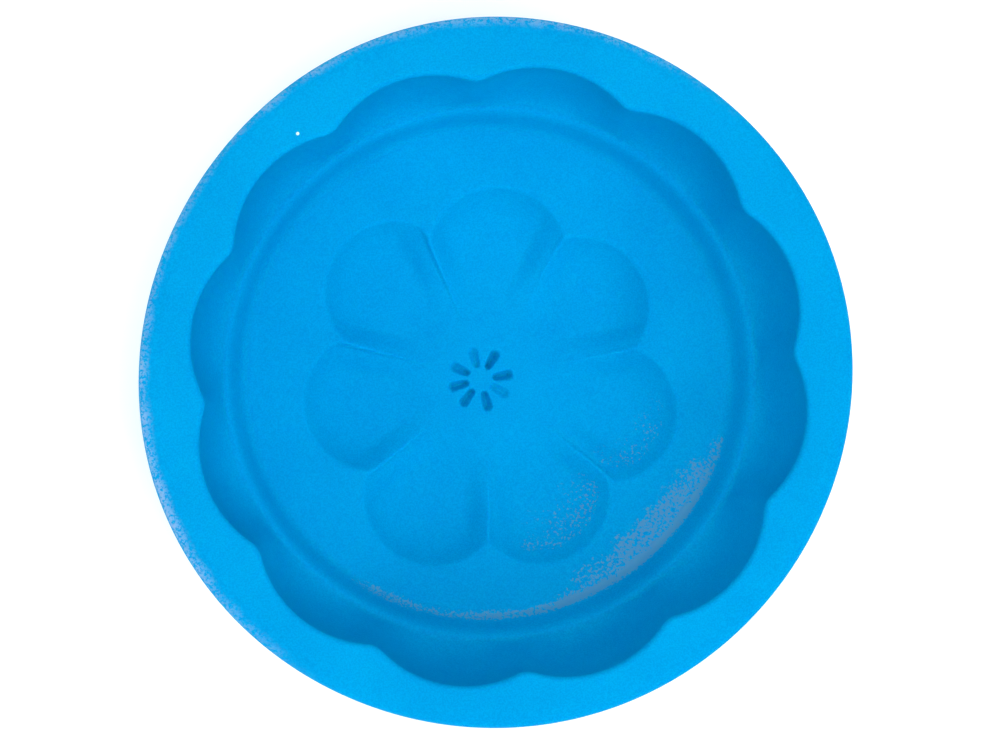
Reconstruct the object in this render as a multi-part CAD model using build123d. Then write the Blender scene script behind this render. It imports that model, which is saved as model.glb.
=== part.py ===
from build123d import *

import os
from math import atan2, degrees, isclose, sqrt

# A round block mould of cast silicone rubber for one flower-faced soap bar, in millimetres.
# The base stands on z = 0 with its centre at the origin, and the bar is poured in from +Z.
# The mould is cast in two pours: a detail coat over the bar master, then the block behind it.

# Outer block
RIM_RADIUS = 42.5
BASE_RADIUS = 42.1
HEIGHT = 30.0
RIM_ROUND = 0.9
BASE_ROUND = 0.6

# Bar cavity, about its own axis, which is set slightly off the block's
CAVITY_OFFSET = (0.25, -0.35)
SHELF_DEPTH = 15.0
SHELF_RADIUS = 33.0
BOWL_RADIUS = 34.6
LOBES = 12
LOBE_CENTRE_RADIUS = 23.15
LOBE_RADIUS = 13.95
LOBE_RISE = 0.5
LOBE_PHASE = 19.7

# Disc at the foot of the cavity
STEP_HEIGHT = 4.2
STEP_WIDTH = 3.2
DISH_DEPTH = 1.5

# Flower sunk into the disc
FLOWER_OFFSET = (0.5, -1.0)
PETALS = 7
PETAL_PHASE = 38.7
PETAL_CENTRE_RADIUS = 15.4
PETAL_END_RADIUS = 8.8
PETAL_DEPTH = 3.0
FLOWER_CUT_HEIGHT = 5.0

# Stamens round a plain button at the flower's centre
STAMEN_OFFSET = (-0.7, -1.0)
STAMENS = 8
STAMEN_PHASE = 12.0
STAMEN_INNER = 1.5
STAMEN_OUTER = 4.2
STAMEN_WIDTH = 1.1
STAMEN_DEPTH = 1.1

# Meeting face of the two pours
COAT_LAND = 2.6
COAT_SIDE_RADIUS = 39.7
COAT_FOOT_RADIUS = 37.0
COAT_FOOT_HEIGHT = 3.8
COAT_CORNER = 7.0
COAT_NECK_ROUND = 2.0

# Worked out from the sizes above
SHELF_Z = HEIGHT - SHELF_DEPTH
DISC_EDGE_RADIUS = SHELF_RADIUS - STEP_WIDTH
DISC_EDGE_Z = SHELF_Z - STEP_HEIGHT
DISC_CENTRE_Z = DISC_EDGE_Z - DISH_DEPTH
DISH_RADIUS = (DISC_EDGE_RADIUS**2 + DISH_DEPTH**2) / (2 * DISH_DEPTH)
OVERRUN = 2.0


def disc_level(radius):
    """Height of the dished disc at a distance from the cavity's axis."""
    return DISC_CENTRE_Z + DISH_RADIUS - sqrt(DISH_RADIUS**2 - radius**2)


def turned(outline):
    """Solid of revolution about Z of a closed outline drawn on the XZ plane."""
    return revolve(Plane.XZ * make_face(outline), Axis.Z)


def outer_block():
    """The whole outside of the mould: slightly tapered, with soft edges."""
    corners = [(0, 0), (BASE_RADIUS, 0), (RIM_RADIUS, HEIGHT), (0, HEIGHT)]
    block = turned(Polyline(*corners, close=True).edges())
    rims = block.edges().filter_by(GeomType.CIRCLE).sort_by(Axis.Z)
    block = fillet(rims[-1], RIM_ROUND)
    rims = block.edges().filter_by(GeomType.CIRCLE).sort_by(Axis.Z)
    return fillet(rims[0], BASE_ROUND)


def cove(foot_radius, mouth_radius, depth):
    """A round well whose wall curves up from a flat foot to stand plumb at the rim."""
    foot_z = HEIGHT - depth
    wall = EllipticalCenterArc(
        (foot_radius, HEIGHT), mouth_radius - foot_radius, depth, start_angle=-90, arc_size=90
    )
    rest = Polyline(wall @ 1, (mouth_radius, HEIGHT + OVERRUN), (0, HEIGHT + OVERRUN), (0, foot_z), wall @ 0)
    return turned(wall.edges() + rest.edges())


def scalloped_well():
    """The cavity's wall: a round cove and a ring of lobes that open out of it towards the rim."""
    lobe = Pos(LOBE_CENTRE_RADIUS, 0, 0) * cove(
        SHELF_RADIUS - LOBE_CENTRE_RADIUS, LOBE_RADIUS, SHELF_DEPTH - LOBE_RISE
    )
    lobes = [Rot(0, 0, LOBE_PHASE + turn * 360 / LOBES) * lobe for turn in range(LOBES)]
    return cove(SHELF_RADIUS, BOWL_RADIUS, SHELF_DEPTH).fuse(*lobes)


def dished_disc():
    """The sunken disc: a shallow dish, and a step of two rounds that leads up to the shelf."""
    half_span = DISC_EDGE_RADIUS / 2
    dish = ThreePointArc(
        (0, DISC_CENTRE_Z), (half_span, disc_level(half_span)), (DISC_EDGE_RADIUS, DISC_EDGE_Z)
    )
    reach, climb = STEP_WIDTH / 2, STEP_HEIGHT / 2
    foot = EllipticalCenterArc(
        (DISC_EDGE_RADIUS, DISC_EDGE_Z + climb), reach, climb, start_angle=-90, arc_size=90
    )
    head = EllipticalCenterArc(
        (SHELF_RADIUS, SHELF_Z - climb), reach, climb, start_angle=90, arc_size=90
    )
    above = SHELF_Z + OVERRUN
    rest = Polyline((SHELF_RADIUS, SHELF_Z), (SHELF_RADIUS, above), (0, above), (0, DISC_CENTRE_Z))
    return turned(dish.edges() + foot.edges() + head.edges() + rest.edges())


def petal():
    """One hollow like the end of a finger: a round bar with a ball for its outer end."""
    ball = (PETAL_END_RADIUS**2 + PETAL_DEPTH**2) / (2 * PETAL_DEPTH)
    rise = disc_level(PETAL_CENTRE_RADIUS)
    bar = Rot(0, 90, 0) * Cylinder(
        ball, PETAL_CENTRE_RADIUS, align=(Align.CENTER, Align.CENTER, Align.MAX)
    )
    finger = bar + Sphere(ball)
    tilt = degrees(atan2(rise - DISC_CENTRE_Z, PETAL_CENTRE_RADIUS))
    return Pos(PETAL_CENTRE_RADIUS, 0, rise + ball - PETAL_DEPTH) * Rot(0, -tilt, 0) * finger


def stamen():
    """One round-ended slot, radial, cut down from the flower's floor."""
    length = STAMEN_OUTER - STAMEN_INNER
    slot = SlotOverall(length, STAMEN_WIDTH)
    bottom = DISC_CENTRE_Z - PETAL_DEPTH - STAMEN_DEPTH
    return Pos((STAMEN_INNER + STAMEN_OUTER) / 2, 0, bottom) * extrude(slot, STAMEN_DEPTH + OVERRUN)


def flower():
    """The petals and the stamens, about the disc's axis."""
    petals = [Rot(0, 0, PETAL_PHASE + turn * 360 / PETALS) * petal() for turn in range(PETALS)]
    bloom = petals[0].fuse(*petals[1:])
    slab = Cylinder(DISC_EDGE_RADIUS - OVERRUN, 2 * FLOWER_CUT_HEIGHT)
    bloom = Pos(*FLOWER_OFFSET, 0) * (bloom & Pos(0, 0, DISC_CENTRE_Z) * slab)
    centre = Pos(*STAMEN_OFFSET, 0)
    pitch = 360 / STAMENS
    stamens = [centre * Rot(0, 0, STAMEN_PHASE + turn * pitch) * stamen() for turn in range(STAMENS)]
    return bloom.fuse(*stamens)


def bar_cavity():
    """Everything the soap fills, with an overrun above the rim."""
    return Pos(*CAVITY_OFFSET, 0) * (scalloped_well() + dished_disc() + flower())


def coat_envelope():
    """The outside of the detail coat: a land across the rim and a bowl round the cavity."""
    land_z = HEIGHT - COAT_LAND
    far = RIM_RADIUS + OVERRUN
    corners = [
        (0, COAT_FOOT_HEIGHT),
        (COAT_FOOT_RADIUS, COAT_FOOT_HEIGHT),
        (COAT_SIDE_RADIUS, land_z),
        (far, land_z),
        (far, HEIGHT + OVERRUN),
        (0, HEIGHT + OVERRUN),
    ]
    envelope = turned(Polyline(*corners, close=True).edges())
    rings = envelope.edges().filter_by(GeomType.CIRCLE).sort_by(Axis.Z)
    envelope = fillet(rings[0], COAT_CORNER)
    rings = envelope.edges().filter_by(GeomType.CIRCLE)
    neck = [ring for ring in rings if isclose(ring.radius, COAT_SIDE_RADIUS)]
    return fillet(neck, COAT_NECK_ROUND)


def main():
    os.makedirs("parts", exist_ok=True)
    block = outer_block()
    envelope = coat_envelope()
    parts = {
        "face_coat": (block & envelope) - bar_cavity(),
        "backing_block": block - envelope,
    }
    for name, part in parts.items():
        export_step(part, f"parts/{name}.step")


main()
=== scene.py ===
"""Looks of a cast silicone soap mould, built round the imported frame.

The shape classes hold sizes in millimetres, as a mould maker gives them, and
Skin.piece turns them into metres in the frame's own axes.
"""

import logging
import math
from dataclasses import dataclass, field
from enum import Enum

import bpy
import numpy as np
from mathutils import Matrix, Vector


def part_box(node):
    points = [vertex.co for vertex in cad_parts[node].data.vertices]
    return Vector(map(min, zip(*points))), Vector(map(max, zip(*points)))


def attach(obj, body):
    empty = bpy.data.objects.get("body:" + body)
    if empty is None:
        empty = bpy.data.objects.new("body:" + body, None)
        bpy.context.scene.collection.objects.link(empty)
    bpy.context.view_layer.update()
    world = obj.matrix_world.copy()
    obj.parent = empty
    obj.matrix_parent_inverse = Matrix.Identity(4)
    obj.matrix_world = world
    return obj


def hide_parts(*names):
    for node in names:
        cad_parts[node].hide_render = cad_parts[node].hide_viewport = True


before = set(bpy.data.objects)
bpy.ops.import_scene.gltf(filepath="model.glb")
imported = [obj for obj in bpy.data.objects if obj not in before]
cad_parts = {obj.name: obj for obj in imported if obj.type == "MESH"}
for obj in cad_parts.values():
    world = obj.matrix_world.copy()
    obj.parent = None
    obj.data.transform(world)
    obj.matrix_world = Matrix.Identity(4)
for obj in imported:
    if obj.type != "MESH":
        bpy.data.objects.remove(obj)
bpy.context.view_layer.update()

MM = 0.001
FULL_TURN = 2 * math.pi
BODY = "root"
LOG = logging.getLogger("soap_mould")


def larger(a: np.ndarray, b: np.ndarray, blend: float) -> np.ndarray:
    """The larger of two surfaces, with their crossing rounded off.

    Args:
        a: First surface.
        b: Second surface.
        blend: Difference between the two over which the crossing is rounded.

    Returns:
        The rounded upper surface.
    """
    share = np.clip(0.5 + 0.5 * (a - b) / blend, 0, 1)
    return b + (a - b) * share + blend * share * (1 - share)


def ease(x: np.ndarray) -> np.ndarray:
    """A smooth step from 0 to 1 as x goes from 0 to 1."""
    x = np.clip(x, 0, 1)
    return x * x * (3 - 2 * x)


def turned(x: np.ndarray, y: np.ndarray, angle: float) -> tuple[np.ndarray, np.ndarray]:
    """Points seen from axes turned by an angle: how far along it, and how far to its left."""
    cos, sin = math.cos(angle), math.sin(angle)
    return x * cos + y * sin, y * cos - x * sin


@dataclass
class Skin:
    """Rings of points about Z, joined into one closed skin.

    The first ring lies round the axis on the upper face, and the last one round it on
    the lower face.
    """

    columns: int
    start: float
    rings: list[np.ndarray] = field(default_factory=list)

    @property
    def angles(self) -> np.ndarray:
        """The angle of each column."""
        return self.start + np.arange(self.columns) * FULL_TURN / self.columns

    def ring(self, x: np.ndarray, y: np.ndarray, z: np.ndarray | float) -> None:
        """Adds one ring of points."""
        self.rings.append(np.stack([x, y, np.broadcast_to(z, self.columns)], 1))

    def round_ring(self, radius: np.ndarray | float, z: np.ndarray | float) -> None:
        """Adds one ring given by its radius about the block's axis."""
        self.ring(radius * np.cos(self.angles), radius * np.sin(self.angles), z)

    def piece(self, name: str, upper: tuple[float, float, float], lower: float) -> bpy.types.Object:
        """Closes the rings with a point at each end and makes the mesh.

        Args:
            name: Name of the piece.
            upper: The point inside the first ring.
            lower: Height of the point on the axis inside the last ring.

        Returns:
            The new object, in metres.
        """
        count, rows = self.columns, len(self.rings)
        points = np.concatenate([*self.rings, [upper, (0, 0, lower)]]) * MM
        here = np.arange(count)
        there = (here + 1) % count
        quad = np.stack([here, here + count, there + count, there], 1)
        quads = np.concatenate([quad + row * count for row in range(rows - 1)])
        last = (rows - 1) * count
        top_fan = np.stack([np.full(count, rows * count), here, there], 1)
        base_fan = np.stack([last + here, np.full(count, rows * count + 1), last + there], 1)
        faces = quads.tolist() + top_fan.tolist() + base_fan.tolist()
        mesh = bpy.data.meshes.new(name)
        mesh.from_pydata(points.tolist(), [], faces)
        mesh.polygons.foreach_set("use_smooth", [True] * len(mesh.polygons))
        mesh.update()
        made = bpy.data.objects.new(name, mesh)
        bpy.context.scene.collection.objects.link(made)
        return made


@dataclass(frozen=True)
class OuterForm:
    """The outside of the block, as the hand-rolled former left it."""

    rim_radius: float
    rim_z: float
    pour_z: float
    taper: float = 0.4
    rim_round: float = 0.9
    roll_width: float = 2.0
    roll_drop: float = 0.2
    base_round: float = 0.6
    groove: float = 0.08
    groove_side: float = 0.25
    stray: tuple[tuple[int, float, float], ...] = ((2, 0.21, 24), (3, 0.11, -27), (4, 0.10, 16))

    def wander(self, angles: np.ndarray) -> np.ndarray:
        """How far the former strays from a true circle at each angle."""
        return sum(size * np.cos(turns * (angles - math.radians(lag))) for turns, size, lag in self.stray)

    def side(self, angles: np.ndarray, z: float) -> np.ndarray:
        """Radius of the side wall at a height."""
        return self.rim_radius - self.taper * (1 - z / self.rim_z) + self.wander(angles)

    def land_edge(self, angles: np.ndarray) -> np.ndarray:
        """Radius at which the flat land starts to roll over towards the side."""
        return self.side(angles, self.rim_z) - self.rim_round - self.roll_width


@dataclass(frozen=True)
class Cavity:
    """The space the soap fills: scalloped cove, shelf, step and dished disc."""

    rim_z: float
    centre: tuple[float, float] = (0.25, -0.34)
    depth: float = 15.0
    shelf_radius: float = 33.0
    bowl_radius: float = 34.6
    lobes: int = 12
    lobe_centre: float = 23.15
    lobe_radius: float = 13.97
    lobe_phase: float = 19.7
    cusp_blend: float = 0.9
    lip: float = 0.7
    step: float = 4.2
    step_width: float = 3.2
    step_foot: float = 2.5
    step_brow: float = 1.8
    dish_depth: float = 1.5
    dish_power: float = 4.0

    @property
    def shelf_z(self) -> float:
        """Height of the shelf at the foot of the wall."""
        return self.rim_z - self.depth

    @property
    def disc_radius(self) -> float:
        """Radius of the disc, where the step starts."""
        return self.shelf_radius - self.step_width

    @property
    def disc_z(self) -> float:
        """Height of the disc at its edge."""
        return self.shelf_z - self.step

    def dish(self, radius: np.ndarray) -> np.ndarray:
        """Height of the dished disc at each distance from the cavity's axis."""
        return self.disc_z - self.dish_depth * (1 - (radius / self.disc_radius) ** self.dish_power)

    def _lobe(self, off: np.ndarray, reach: float) -> np.ndarray:
        """Radius of one lobe's circle at angles off the lobe's middle."""
        across = self.lobe_centre * np.sin(off)
        return self.lobe_centre * np.cos(off) + np.sqrt(np.maximum(reach**2 - across**2, 0))

    def wall(self, angles: np.ndarray, z: float) -> np.ndarray:
        """Radius of the scalloped wall at a height.

        Args:
            angles: Angles round the cavity's axis.
            z: Height, above the shelf and up to the rim.

        Returns:
            The wall's radius at each angle.
        """
        pitch = FULL_TURN / self.lobes
        off_middle = np.abs((angles - math.radians(self.lobe_phase) + pitch / 2) % pitch - pitch / 2)
        flare = math.sqrt(1 - ((self.rim_z - z) / self.depth) ** 2)
        foot = self.shelf_radius - self.lobe_centre
        reach = foot + (self.lobe_radius - foot) * flare
        own, next_one = (self._lobe(off, reach) for off in (off_middle, pitch - off_middle))
        bowl = self.shelf_radius + (self.bowl_radius - self.shelf_radius) * flare
        scallops = larger(own, next_one, self.cusp_blend)
        return larger(scallops, np.full_like(scallops, bowl), self.cusp_blend)


@dataclass(frozen=True)
class Flower:
    """Seven petals round a hub with a ring of stamens, sunk into the disc."""

    centre: tuple[float, float] = (0.5, -1.0)
    petals: int = 7
    phase: float = 38.7
    tip: float = 24.1
    end_radius: float = 8.9
    depth: float = 3.3
    border: float = 5.8
    end_bend: float = 0.52
    reach: tuple[float, ...] = (-0.8, 0.2, 1.2, -0.2, 1.0, 0.4, 0.0)
    lean: tuple[float, ...] = (1, -3, -4, -3, -1, -3, -3)
    web_start: float = 6.0
    web_run: float = 11.0
    web_side: float = 2.6
    web_crest: float = 0.4
    web_height: float = 0.3
    side_soft: float = 0.6
    side_past: float = 1.8
    hub_offset: tuple[float, float] = (-0.7, -1.0)
    hub_radius: float = 5.5
    hub_run: float = 9.0
    hub_depth: float = 2.6
    stamen_phase: float = 13.0
    stamen_turn: tuple[float, ...] = (-4, 2, 2, 6, 2, -4, 2, 2)
    stamen_cut: tuple[float, ...] = (1, 1.1, 0.6, 0.85, 1, 1, 1, 0.5)
    stamen_inner: float = 1.5
    stamen_outer: float = 4.2
    stamen_width: float = 1.3
    stamen_narrow: float = 0.32
    stamen_widening: float = 0.26
    stamen_soft: float = 0.1
    stamen_depth: float = 1.3

    def _petal(self, u: np.ndarray, v: np.ndarray, reach: float, lean: float) -> np.ndarray:
        """How far one petal sinks.

        Args:
            u: Distance along the petal's middle line.
            v: Distance to the left of that line.
            reach: How much further out this petal's tip lies than the usual one.
            lean: How far the tip leans to the left, in degrees.

        Returns:
            The drop at each point, which is 0 outside the petal.
        """
        half = math.pi / self.petals
        out = self.tip + reach - self.end_radius
        end_u, end_v = out * math.cos(math.radians(lean)), out * math.sin(math.radians(lean))
        past_end = np.hypot(u - end_u, v - end_v)
        abreast = np.abs(v - end_v * np.clip(u / end_u, 0, 1))
        to_end = self.end_radius - np.where(u > end_u, past_end, abreast)
        rounding = ease(np.clip(to_end / self.border, 0, 1) ** self.end_bend)
        to_web = u * math.sin(half) - np.abs(v) * math.cos(half) - self.web_crest
        web_rise = self.web_height * ease((u - self.web_start) / self.web_run)
        web = web_rise * (1 - ease(to_web / self.web_side))
        off_hub = ease((u - self.hub_radius) / self.hub_run)
        floor = self.hub_depth + (self.depth - self.hub_depth) * off_hub
        inside = ease(to_web / self.side_soft + self.side_past)
        return floor * rounding * (1 - web) * inside

    def petal_drop(self, x: np.ndarray, y: np.ndarray) -> np.ndarray:
        """How far the petals sink below the disc.

        Args:
            x: Places about the cavity's axis.
            y: Places about the cavity's axis.

        Returns:
            The drop at each point, which is 0 outside the flower.
        """
        x, y = x - self.centre[0], y - self.centre[1]
        drop = np.zeros_like(x)
        for number, (reach, lean) in enumerate(zip(self.reach, self.lean, strict=True)):
            u, v = turned(x, y, math.radians(self.phase) + number * FULL_TURN / self.petals)
            drop = np.maximum(drop, self._petal(u, v, reach, lean))
        return drop

    def stamen_drop(self, x: np.ndarray, y: np.ndarray) -> np.ndarray:
        """How far the stamens sink below the hub.

        Args:
            x: Places about the cavity's axis.
            y: Places about the cavity's axis.

        Returns:
            The drop at each point, which is 0 outside the stamens.
        """
        x, y = x - self.hub_offset[0], y - self.hub_offset[1]
        drop = np.zeros_like(x)
        pitch = FULL_TURN / len(self.stamen_turn)
        for number, (turn, cut) in enumerate(zip(self.stamen_turn, self.stamen_cut, strict=True)):
            u, v = turned(x, y, math.radians(self.stamen_phase + turn) + pitch * number)
            along = np.clip((u - self.stamen_inner) / (self.stamen_outer - self.stamen_inner), 0, 1)
            half_width = self.stamen_width * (self.stamen_narrow + self.stamen_widening * along)
            nearest = np.clip(u, self.stamen_inner + half_width, self.stamen_outer - half_width)
            to_edge = half_width - np.hypot(u - nearest, v)
            bowl = ease((to_edge + self.stamen_soft) / (half_width + self.stamen_soft))
            drop = drop + self.stamen_depth * cut * bowl
        return drop


@dataclass(frozen=True)
class MeetingFace:
    """The face where the two pours meet: under the land, down round the cavity and across below it."""

    land_z: float
    foot_z: float
    foot_radius: float = 37.0
    side_radius: float = 39.7
    corner: float = 7.0
    corner_steps: int = 7
    level_radii: tuple[float, ...] = (8.0, 20.0)
    neck_drop: float = 1.2
    neck_out: float = 0.5

    def rings(self) -> list[tuple[float, float]]:
        """Works out the face's rings.

        Returns:
            Radius and height of each ring, from the middle out to just short of the side.
        """
        turns = np.linspace(-math.pi / 2, 0, self.corner_steps)
        corner_r = self.foot_radius - self.corner + self.corner * np.cos(turns)
        corner_z = self.foot_z + self.corner + self.corner * np.sin(turns)
        level = [(radius, self.foot_z) for radius in self.level_radii]
        neck = [
            (self.side_radius, self.land_z - self.neck_drop),
            (self.side_radius + self.neck_out, self.land_z),
        ]
        return level + list(zip(corner_r.tolist(), corner_z.tolist(), strict=True)) + neck


class PourSide(Enum):
    """Which of the two pours a piece of rubber comes from."""

    DETAIL = "detail"
    BACKING = "backing"


class Shade:
    """A number on a shader socket, with maths that adds nodes."""

    def __init__(self, bench: "Bench", socket: bpy.types.NodeSocket) -> None:
        """Wraps an output socket."""
        self.bench = bench
        self.socket = socket

    def _maths(self, operation: str, a: "Shade | float", b: "Shade | float") -> "Shade":
        """Adds one Math node on two values."""
        return self.bench.node("ShaderNodeMath", {"operation": operation}, {0: a, 1: b})

    def __add__(self, other: "Shade | float") -> "Shade":
        """Adds two values."""
        return self._maths("ADD", self, other)

    __radd__ = __add__

    def __sub__(self, other: "Shade | float") -> "Shade":
        """Takes another value from this one."""
        return self._maths("SUBTRACT", self, other)

    def __rsub__(self, other: "Shade | float") -> "Shade":
        """Takes this value from another one."""
        return self._maths("SUBTRACT", other, self)

    def __mul__(self, other: "Shade | float") -> "Shade":
        """Multiplies two values."""
        return self._maths("MULTIPLY", self, other)

    __rmul__ = __mul__

    def __pow__(self, power: float) -> "Shade":
        """Raises this value to a power."""
        return self._maths("POWER", self, power)

    def band(self, low: float, high: float) -> "Shade":
        """0 below low, 1 above high, with a smooth rise between."""
        sockets = {"Value": self, "From Min": low, "From Max": high}
        return self.bench.node("ShaderNodeMapRange", {"interpolation_type": "SMOOTHSTEP"}, sockets)


class Bench:
    """Builds one material node by node."""

    def __init__(self, name: str) -> None:
        """Starts an empty material.

        Args:
            name: Name of the material.
        """
        self.material = bpy.data.materials.new(name)
        self.material.use_nodes = True
        self.tree = self.material.node_tree
        self.tree.nodes.clear()
        self.place = self.node("ShaderNodeTexCoord", {}, {}, "Object")

    def node(self, kind: str, settings: dict, sockets: dict, output: str | int = 0) -> Shade:
        """Adds a node.

        Args:
            kind: The node's type.
            settings: Its own settings, which are set first.
            sockets: What its input sockets hold, a value or another node's output.
            output: The output socket that is wanted.

        Returns:
            That output.
        """
        made = self.tree.nodes.new(kind)
        for key, value in settings.items():
            setattr(made, key, value)
        for key, value in sockets.items():
            if isinstance(value, Shade):
                self.tree.links.new(value.socket, made.inputs[key])
            else:
                made.inputs[key].default_value = value
        return Shade(self, made.outputs[output])

    def axis(self, name: str) -> Shade:
        """One of the three coordinates, in millimetres."""
        return self.node("ShaderNodeSeparateXYZ", {}, {0: self.place}, name) * (1 / MM)

    def toward(self, direction: tuple[float, float]) -> Shade:
        """How far each point lies along a level direction, in millimetres."""
        return self.axis("X") * direction[0] + self.axis("Y") * direction[1]

    def away(self, centre: tuple[float, float]) -> Shade:
        """Level distance from a centre, in millimetres."""
        x, y = self.axis("X") - centre[0], self.axis("Y") - centre[1]
        return (x * x + y * y) ** 0.5

    def noise(self, size: float, detail: float = 2.0, roughness: float = 0.5) -> Shade:
        """Noise whose patches are about as wide as size, in millimetres."""
        sockets = {"Vector": self.place, "Scale": 1 / (size * MM), "Detail": detail, "Roughness": roughness}
        return self.node("ShaderNodeTexNoise", {}, sockets, "Fac")

    def blend(self, mask: Shade, low: Shade | tuple, high: Shade | tuple) -> Shade:
        """Mixes two colours.

        Args:
            mask: Where the second colour shows.
            low: The colour where the mask is 0.
            high: The colour where the mask is 1.

        Returns:
            The mixed colour.
        """
        made = self.tree.nodes.new("ShaderNodeMix")
        made.data_type = "RGBA"
        colours = [s for s in made.inputs if s.type == "RGBA"]
        self.tree.links.new(mask.socket, made.inputs[0])
        for socket, colour in zip(colours, (low, high), strict=True):
            if isinstance(colour, Shade):
                self.tree.links.new(colour.socket, socket)
            else:
                socket.default_value = (*colour, 1)
        return Shade(self, next(s for s in made.outputs if s.type == "RGBA"))

    def finish(self, shader: Shade) -> bpy.types.Material:
        """Wires the shader to the output.

        Args:
            shader: The finished surface.

        Returns:
            The material.
        """
        output = self.tree.nodes.new("ShaderNodeOutputMaterial")
        self.tree.links.new(shader.socket, output.inputs["Surface"])
        return self.material


@dataclass(frozen=True)
class PaintedSheen:
    """Painted sheen: pale highlight specks in a crescent at one side of the disc, and on two petals.

    Sizes are in millimetres, and each pair of them is where the painted sheen starts and where it is full.
    The coat is a little glossier on the same specks.
    """

    # Pale colour of the painted sheen specks, standing in for a highlight
    colour: tuple[float, float, float] = (0.055, 0.255, 0.46)
    gloss: float = 0.14
    corner: tuple[float, float] = (0.70, -0.71)
    corner_range: tuple[float, float] = (27.2, 29.6)
    petal_range: tuple[float, float] = (18.5, 25.0)
    petal_share: float = 0.5
    petal_floor_z: tuple[float, float] = (7.8, 8.6)
    front: tuple[float, float] = (0.26, -0.97)
    front_range: tuple[float, float] = (19.0, 24.0)
    edge_range: tuple[float, float] = (30.5, 31.3)
    outer_range: tuple[float, float] = (31.0, 31.6)
    stray: float = 3.0
    patchiness: float = 0.3
    filling: float = 0.22
    speck_range: tuple[float, float] = (0.78, 0.94)
    reach_range: tuple[float, float] = (0.05, 0.3)

    def mask(self, bench: Bench, grain: Shade, patch: Shade) -> Shade:
        """Works out where the sheen is painted.

        Args:
            bench: The material's bench.
            grain: Fine noise, which breaks the painted sheen into specks.
            patch: Coarse noise, which makes its edge ragged.

        Returns:
            A mask that is 1 on the painted sheen's specks.
        """
        # Painted sheen goes on the disc's edge towards one corner and on the far ends of two petals
        radius = bench.away((0.0, 0.0))
        to_corner = bench.toward(self.corner) + patch * self.stray
        edge = (radius + patch).band(*self.edge_range) * bench.toward(self.front).band(*self.front_range)
        on_floor = 1 - bench.axis("Z").band(*self.petal_floor_z)
        petals = (to_corner + patch * self.stray).band(*self.petal_range) * on_floor
        crescent = (edge + to_corner.band(*self.corner_range)) * (1 - radius.band(*self.outer_range))
        reach = crescent + petals * self.petal_share
        specks = (grain + patch * self.patchiness + reach * self.filling).band(*self.speck_range)
        return specks * reach.band(*self.reach_range)


@dataclass(frozen=True)
class RimSheenAndSpot:
    """Painted highlight: pale specks along the rim's edge on one side, and one small pale spot. Sizes are
    in millimetres.
    """

    rim_z: tuple[float, float] = (29.0, 29.5)
    # Pale colour of the painted highlight specks on the rim's edge
    rim_sheen: tuple[float, float, float] = (0.30, 0.42, 0.62)
    rim_sheen_most: float = 0.6
    lit_side: tuple[float, float] = (-0.8, 0.6)
    lit_side_range: tuple[float, float] = (2.0, 30.0)
    lit_side_stray: float = 20.0
    edge_range: tuple[float, float] = (41.9, 43.6)
    edge_stray: float = 1.5
    speck_range: tuple[float, float] = (0.5, 0.68)
    patchiness: float = 0.2
    pale_spot: tuple[float, float, float] = (0.62, 0.85, 0.90)
    pale_spot_place: tuple[float, float] = (-23.9, 28.5)
    pale_spot_range: tuple[float, float] = (0.108, 0.252)

    def over(self, bench: Bench, clean: Shade, grain: Shade, patch: Shade) -> Shade:
        """Paints the rim's highlight specks and the pale spot over a colour.

        Args:
            bench: The material's bench.
            clean: The rubber's own colour.
            grain: Fine noise, which breaks the painted highlight into specks.
            patch: Coarse noise, which makes its edges ragged.

        Returns:
            The colour with the painted highlight and the pale spot.
        """
        on_top = bench.axis("Z").band(*self.rim_z)
        lit_side = (bench.toward(self.lit_side) + patch * self.lit_side_stray).band(*self.lit_side_range)
        sheen_edge = (bench.away((0.0, 0.0)) + patch * self.edge_stray).band(*self.edge_range)
        specks = (grain + patch * self.patchiness).band(*self.speck_range)
        # Painted highlight: pale specks along the rim's outer edge, on the side facing the light only
        rim_sheen = sheen_edge * lit_side * specks * on_top * self.rim_sheen_most
        # One small pale spot on top of the rim, at a fixed place
        pale_spot = (1 - bench.away(self.pale_spot_place).band(*self.pale_spot_range)) * on_top
        return bench.blend(pale_spot, bench.blend(rim_sheen, clean, self.rim_sheen), self.pale_spot)


@dataclass(frozen=True)
class FormerMarks:
    """What the former left on the outer wall: a faint seam and a few pinholes. Sizes are in millimetres."""

    seam_angle: float = 200.0
    seam_width: float = 0.22
    seam_side: tuple[float, float] = (30.0, 31.0)
    pinhole_spacing: float = 13.0
    pinhole_radius: float = 0.22
    pinhole_depth: float = 2.0

    def height(self, bench: Bench) -> Shade:
        """Works out the marks' height.

        Args:
            bench: The material's bench.

        Returns:
            1 on the seam's crest, and below 0 in the pinholes.
        """
        cos, sin = math.cos(math.radians(self.seam_angle)), math.sin(math.radians(self.seam_angle))
        aside = bench.toward((sin, -cos))
        near_side = bench.toward((cos, sin)).band(*self.seam_side)
        seam = (1 - (aside * aside).band(0.0, self.seam_width**2)) * near_side
        sockets = {"Vector": bench.place, "Scale": 1 / (self.pinhole_spacing * MM)}
        to_pinhole = bench.node("ShaderNodeTexVoronoi", {}, sockets, "Distance")
        reach = self.pinhole_radius / self.pinhole_spacing
        return seam - (1 - to_pinhole.band(reach / 2, reach)) * self.pinhole_depth


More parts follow.
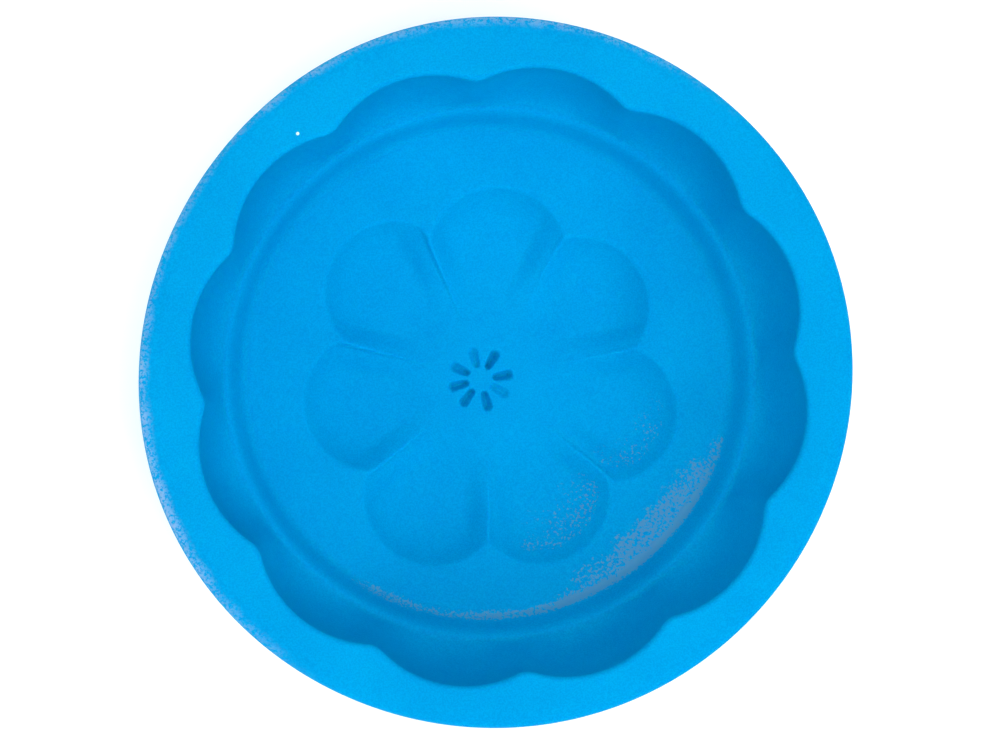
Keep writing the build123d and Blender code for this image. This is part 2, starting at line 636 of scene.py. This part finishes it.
@dataclass(frozen=True)
class SiliconeFinish:
    """Blue pigmented silicone rubber, satin from the master that it was cast on."""

    name: str
    side: PourSide
    deep: tuple[float, float, float] = (0.0, 0.236, 0.519)
    light: tuple[float, float, float] = (0.0, 0.312, 0.610)
    mid_noise: tuple[float, float] = (0.3, 0.7)
    fine_share: float = 0.7
    cloud_size: float = 14.0
    patch_size: float = 3.2
    grain_size: float = 0.36
    fine_size: float = 0.216
    roughness: float = 0.42
    roughness_spread: float = 0.16
    plain_gloss: float = 0.1
    painted_sheen: PaintedSheen = PaintedSheen()
    rim_sheen_and_spot: RimSheenAndSpot = RimSheenAndSpot()
    marks: FormerMarks = FormerMarks()

    def material(self) -> bpy.types.Material:
        """Builds the rubber's material.

        Returns:
            The material, with the painted sheen and highlight on the detail side and the former's marks on
            the backing.
        """
        bench = Bench(self.name)
        cloud = bench.noise(self.cloud_size, 3.0).band(*self.mid_noise)
        grain = bench.noise(self.grain_size, 2.0, 0.6)
        fine = bench.noise(self.fine_size, 1.0)
        mottle = cloud * (1 - self.fine_share) + fine.band(*self.mid_noise) * self.fine_share
        colour = bench.blend(mottle, self.deep, self.light)
        height = (fine + grain) * 0.5
        if self.side is PourSide.DETAIL:
            patch = bench.noise(self.patch_size, 3.0, 0.6)
            # Painted sheen and highlight: pale specks blended into the colour on the disc's lit slopes, on
            # two petals and along one side of the rim's edge
            painted_sheen = self.painted_sheen.mask(bench, grain, patch)
            colour = bench.blend(painted_sheen, self.rim_sheen_and_spot.over(bench, colour, grain, patch), self.painted_sheen.colour)
            gloss = painted_sheen * self.painted_sheen.gloss
        else:
            height = height + self.marks.height(bench)
            gloss = grain * self.plain_gloss
        bump = {"Strength": 0.25, "Distance": 0.00006, "Height": height}
        sockets = {
            "Base Color": colour,
            "Roughness": self.roughness + grain * self.roughness_spread,
            "IOR": 1.41,
            "Specular IOR Level": 0.02,
            "Subsurface Weight": 0.6,
            "Subsurface Radius": (0.25, 0.8, 1.6),
            "Subsurface Scale": 0.0006,
            "Coat Weight": gloss,
            "Coat Roughness": 0.12,
            "Coat IOR": 1.41,
            "Normal": bench.node("ShaderNodeBump", {}, bump),
        }
        return bench.finish(bench.node("ShaderNodeBsdfPrincipled", {}, sockets))


@dataclass(frozen=True)
class FloorFinish:
    """Plain white card."""

    name: str = "white_card"
    colour: tuple[float, float, float] = (0.93, 0.93, 0.93)
    tooth_size: float = 1.5
    tooth_shade: float = 0.99
    glow: float = 0.17

    def material(self) -> bpy.types.Material:
        """Builds the card's material.

        Returns:
            The material.
        """
        bench = Bench(self.name)
        tooth = bench.noise(self.tooth_size)
        shade = bench.blend(tooth, self.colour, tuple(self.tooth_shade * part for part in self.colour))
        sockets = {
            "Base Color": shade,
            "Roughness": 0.9,
            "Specular IOR Level": 0.1,
            "Emission Color": (1, 1, 1, 1),
            "Emission Strength": self.glow,
        }
        return bench.finish(bench.node("ShaderNodeBsdfPrincipled", {}, sockets))


@dataclass
class FaceCoat:
    """The detail pour: land, cavity and flower."""

    outside: OuterForm
    cavity: Cavity
    flower: Flower
    meeting: MeetingFace
    finish: SiliconeFinish
    ripple_height: tuple[float, float] = (0.03, 0.02)
    ripple_pitch: tuple[float, float, float] = (0.31, 0.27, 0.17)
    ripple_lag: tuple[float, float] = (0.7, 0.2)
    ring_zones: tuple[float, float, float] = (0.3, 6.0, 26.4)
    ring_pitches: tuple[float, float, float] = (0.16, 0.34, 0.6)
    ring_margin: float = 0.3
    ring_last: float = 0.12
    step_rings: int = 25
    wall_rings: int = 30
    lip_rings: int = 6
    land_shares: tuple[float, ...] = (0.04, 0.35, 0.7, 1.0)
    roll_rings: int = 7
    rim_rings: int = 8
    columns: int = 480
    name: str = "mould_face"

    def _ripple(self, x: np.ndarray, y: np.ndarray) -> np.ndarray:
        """Slight unevenness of the hand-finished master.

        Args:
            x: Places about the cavity's axis.
            y: Places about the cavity's axis.

        Returns:
            Height above the even surface.
        """
        (broad, slanting), (along_x, along_y, along_both) = self.ripple_height, self.ripple_pitch
        waves = np.sin(along_x * x + self.ripple_lag[0]) * np.sin(along_y * y + self.ripple_lag[1])
        return broad * waves + slanting * np.sin(along_both * (x + y))

    def _floor_height(self, x: np.ndarray, y: np.ndarray) -> np.ndarray:
        """Height of the disc with its flower at points about the cavity's axis."""
        sunk = self.flower.petal_drop(x, y) + self.flower.stamen_drop(x, y)
        return self.cavity.dish(np.hypot(x, y)) - sunk + self._ripple(x, y)

    def _floor_radii(self) -> np.ndarray:
        """Works out how far apart the disc's rings lie.

        Returns:
            Their radii: close together at the stamens, wide apart near the disc's edge.
        """
        edge = self.cavity.disc_radius
        limits = (*self.ring_zones, edge - self.ring_margin)
        zones = zip(limits[:-1], limits[1:], self.ring_pitches, strict=True)
        return np.concatenate([*(np.arange(*zone) for zone in zones), [edge - self.ring_last, edge]])

    def _add_cavity_ring(self, skin: Skin, radius: np.ndarray | float, z: np.ndarray | float) -> None:
        """Adds a ring given by its radius about the cavity's axis."""
        x, y = radius * np.cos(skin.angles), radius * np.sin(skin.angles)
        skin.ring(x + self.cavity.centre[0], y + self.cavity.centre[1], z)

    def _add_floor(self, skin: Skin) -> None:
        """Adds the disc, from its middle out to the foot of the step.

        Args:
            skin: The skin so far.
        """
        for radius in self._floor_radii():
            height = self._floor_height(radius * np.cos(skin.angles), radius * np.sin(skin.angles))
            self._add_cavity_ring(skin, radius, height)

    def _add_step(self, skin: Skin) -> None:
        """Adds the step that rolls over onto the shelf.

        Args:
            skin: The skin so far.
        """
        cavity = self.cavity
        for share in np.linspace(0, 1, self.step_rings)[1:]:
            climbed, left = share**cavity.step_foot, (1 - share) ** cavity.step_brow
            radius = cavity.disc_radius + cavity.step_width * share
            self._add_cavity_ring(skin, radius, cavity.disc_z + cavity.step * climbed / (climbed + left))

    def _add_wall(self, skin: Skin) -> None:
        """Adds the scalloped wall and its soft upper lip.

        Args:
            skin: The skin so far.
        """
        cavity = self.cavity
        for turn in np.linspace(math.pi / 2, 0, self.wall_rings)[1:-1]:
            z = cavity.rim_z - cavity.lip - (cavity.depth - cavity.lip) * math.sin(turn)
            self._add_cavity_ring(skin, cavity.wall(skin.angles, z), z)
        mouth = cavity.wall(skin.angles, cavity.rim_z - cavity.lip)
        for turn in np.linspace(0, math.pi / 2, self.lip_rings):
            out, drop = cavity.lip * (1 - math.cos(turn)), cavity.lip * (1 - math.sin(turn))
            self._add_cavity_ring(skin, mouth + out, cavity.rim_z - drop)

    def _add_land(self, skin: Skin) -> None:
        """Adds the flat land between the cavity's mouth and the outer edge.

        Args:
            skin: The skin so far.
        """
        inner = skin.rings[-1][:, :2]
        edge = self.outside.land_edge(skin.angles)
        outer = np.stack([edge * np.cos(skin.angles), edge * np.sin(skin.angles)], 1)
        for share in self.land_shares:
            here = inner + (outer - inner) * share
            skin.ring(here[:, 0], here[:, 1], self.cavity.rim_z)

    def _add_rim(self, skin: Skin) -> None:
        """Adds the roll-over of the land, the rounded rim and the side down to the pour line.

        Args:
            skin: The skin so far.
        """
        out = self.outside
        edge = out.land_edge(skin.angles)
        for share in np.linspace(0, 1, self.roll_rings)[1:]:
            skin.round_ring(edge + out.roll_width * share, out.rim_z - out.roll_drop * share**2)
        tilt = math.atan(2 * out.roll_drop / out.roll_width)
        for turn in np.linspace(math.pi / 2 - tilt, 0, self.rim_rings)[1:]:
            over = out.rim_round * (math.cos(turn) - math.sin(tilt)) / (1 - math.sin(tilt))
            drop = out.rim_round * (math.cos(tilt) - math.sin(turn))
            skin.round_ring(edge + out.roll_width + over, out.rim_z - out.roll_drop - drop)
        for z in (out.pour_z + out.groove_side, out.pour_z + out.groove):
            skin.round_ring(out.side(skin.angles, z), z)
        skin.round_ring(out.side(skin.angles, out.pour_z) - out.groove, out.pour_z)

    def _add_back(self, skin: Skin) -> None:
        """Adds the hidden face that meets the backing pour."""
        for radius, z in reversed(self.meeting.rings()):
            skin.round_ring(np.full(self.columns, radius), z)

    def build(self) -> bpy.types.Object:
        """Builds and dresses the piece.

        Returns:
            The detail pour, riding on the mould's body.
        """
        skin = Skin(self.columns, math.radians(self.cavity.lobe_phase - 180 / self.cavity.lobes))
        for add in (self._add_floor, self._add_step, self._add_wall):
            add(skin)
        for add in (self._add_land, self._add_rim, self._add_back):
            add(skin)
        middle = float(self._floor_height(np.zeros(1), np.zeros(1))[0])
        piece = skin.piece(self.name, (*self.cavity.centre, middle), self.meeting.foot_z)
        piece.data.materials.append(self.finish.material())
        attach(piece, BODY)
        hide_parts("face_coat")
        return piece


@dataclass
class BackingBlock:
    """The backing pour: outer wall and flat base."""

    outside: OuterForm
    meeting: MeetingFace
    finish: SiliconeFinish
    side_top: float = 1.5
    side_foot: float = 1.0
    side_rings: int = 18
    base_rings: int = 7
    base_shares: tuple[float, ...] = (0.985, 0.9, 0.7, 0.5, 0.3, 0.1)
    columns: int = 360
    name: str = "mould_backing"

    def build(self) -> bpy.types.Object:
        """Builds and dresses the piece.

        Returns:
            The backing pour, riding on the mould's body.
        """
        skin = Skin(self.columns, 0.0)
        out = self.outside
        for radius, z in self.meeting.rings():
            skin.round_ring(np.full(self.columns, radius), z)
        skin.round_ring(out.side(skin.angles, out.pour_z) - out.groove, out.pour_z)
        side = np.linspace(out.pour_z - self.side_top, out.base_round + self.side_foot, self.side_rings)
        for z in (out.pour_z - out.groove, out.pour_z - out.groove_side, *side):
            skin.round_ring(out.side(skin.angles, z), z)
        foot = out.side(skin.angles, 0)
        for turn in np.linspace(0, math.pi / 2, self.base_rings):
            inset, z = out.base_round * (1 - math.cos(turn)), out.base_round * (1 - math.sin(turn))
            skin.round_ring(foot - inset, z)
        for share in self.base_shares:
            skin.round_ring(foot * share, 0.0)
        piece = skin.piece(self.name, (0, 0, self.meeting.foot_z), 0.0)
        piece.data.materials.append(self.finish.material())
        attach(piece, BODY)
        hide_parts("backing_block")
        return piece


@dataclass(frozen=True)
class Softbox:
    """One soft light, aimed at the mould. Angles are in degrees, and sizes in metres."""

    name: str
    azimuth: float
    elevation: float
    distance: float
    width: float
    height: float
    power: float
    colour: tuple[float, float, float] = (1, 1, 1)
    glossy: bool = False

    def hang(self, target: Vector) -> bpy.types.Object:
        """Hangs the light.

        Args:
            target: The point that it faces.

        Returns:
            The light.
        """
        lamp = bpy.data.lights.new(self.name, "AREA")
        lamp.shape = "RECTANGLE"
        lamp.size, lamp.size_y = self.width, self.height
        lamp.energy = self.power
        lamp.color = self.colour
        light = bpy.data.objects.new(self.name, lamp)
        turn, lift = math.radians(self.azimuth), math.radians(self.elevation)
        aside = Vector((math.cos(turn) * math.cos(lift), math.sin(turn) * math.cos(lift), math.sin(lift)))
        light.location = target + aside * self.distance
        light.rotation_euler = aside.to_track_quat("Z", "Y").to_euler()
        light.visible_glossy = self.glossy
        bpy.context.scene.collection.objects.link(light)
        return light


@dataclass
class Studio:
    """White card floor, soft lights and the camera above the mould, in metres."""

    floor_half: float = 3.0
    floor_gap: float = 0.00005
    sky: float = 0.415
    softboxes: tuple[Softbox, ...] = (
        Softbox("overhead", 0, 90, 0.8, 0.6, 0.6, 3.85, (1.0, 1.0, 0.95)),
        Softbox("front_right", 315, 50, 0.8, 0.4, 0.4, 1.95, (0.9, 1.0, 1.2)),
        Softbox("right", 0, 50, 0.8, 0.4, 0.4, 0.55, (0.9, 1.0, 1.1)),
        Softbox("front_left", 225, 50, 0.8, 0.4, 0.4, 0.9),
        Softbox("back", 90, 50, 0.8, 0.4, 0.4, 0.6),
        Softbox("low_back", 135, 22, 0.8, 0.5, 0.4, 0.4),
        Softbox("low_left", 225, 25, 0.8, 0.5, 0.4, 1.0, (0.9, 1.0, 1.1)),
        Softbox("low_right", 315, 25, 0.8, 0.5, 0.4, 0.4, (0.9, 1.0, 1.2)),
        Softbox("sheen_above", 90, 79.5, 0.7, 0.3, 0.16, 0.6, (1.0, 0.95, 0.92), True),
    )
    camera_rise: float = 0.350
    camera_aside: tuple[float, float] = (-0.0304, 0.0118)
    lens: float = 106.6
    nearest: float = 0.01
    floor_finish: FloorFinish = FloorFinish()

    def lay_floor(self) -> None:
        """Lays the card under the mould."""
        half, z = self.floor_half, -self.floor_gap
        mesh = bpy.data.meshes.new("floor")
        corners = [(-half, -half, z), (half, -half, z), (half, half, z), (-half, half, z)]
        mesh.from_pydata(corners, [], [(0, 1, 2, 3)])
        floor = bpy.data.objects.new("floor", mesh)
        bpy.context.scene.collection.objects.link(floor)
        mesh.materials.append(self.floor_finish.material())

    def light(self, target: Vector) -> None:
        """Lights the mould with an even white surround and the softboxes.

        Args:
            target: The point that the lights face.
        """
        world = bpy.data.worlds.new("studio")
        world.use_nodes = True
        surround = world.node_tree.nodes["Background"]
        surround.inputs["Color"].default_value = (1, 1, 1, 1)
        surround.inputs["Strength"].default_value = self.sky
        world.cycles_visibility.glossy = False
        bpy.context.scene.world = world
        for box in self.softboxes:
            box.hang(target)

    def place_camera(self, target: Vector) -> None:
        """Puts the camera above the rim, a little left of the mould's axis, with +Y up the picture.

        Args:
            target: The point that the camera faces.
        """
        eye = target + Vector((*self.camera_aside, self.camera_rise))
        forward = (target - eye).normalized()
        right = forward.cross(Vector((0, 1, 0))).normalized()
        up = right.cross(forward)
        lens = bpy.data.cameras.new("overhead")
        lens.lens = self.lens
        lens.clip_start = self.nearest
        camera = bpy.data.objects.new("overhead", lens)
        turn = Matrix((right, up, -forward)).transposed().to_4x4()
        camera.matrix_world = Matrix.Translation(eye) @ turn
        bpy.context.scene.collection.objects.link(camera)
        bpy.context.scene.camera = camera
        bpy.context.scene.view_settings.view_transform = "Standard"


def main() -> None:
    """Builds the mould's two pours, lays the floor and sets the lights and camera."""
    logging.basicConfig(level=logging.INFO, format="%(name)s: %(message)s")
    coat_low, coat_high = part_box("face_coat")
    block_low, block_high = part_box("backing_block")
    rim_z = coat_high.z / MM
    outside = OuterForm((coat_high.x - coat_low.x) / 2 / MM, rim_z, block_high.z / MM)
    meeting = MeetingFace(block_high.z / MM, coat_low.z / MM)
    face_finish = SiliconeFinish("silicone_detail_coat", PourSide.DETAIL)
    back_finish = SiliconeFinish("silicone_backing", PourSide.BACKING)
    rim_centre = Vector((0, 0, coat_high.z))

    studio = Studio()
    studio.place_camera(rim_centre)
    for part in (
        FaceCoat(outside, Cavity(rim_z), Flower(), meeting, face_finish),
        BackingBlock(outside, meeting, back_finish),
    ):
        piece = part.build()
        LOG.info("%s: %d faces", piece.name, len(piece.data.polygons))
    studio.lay_floor()
    studio.light(rim_centre)


if __name__ == "__main__":
    main()
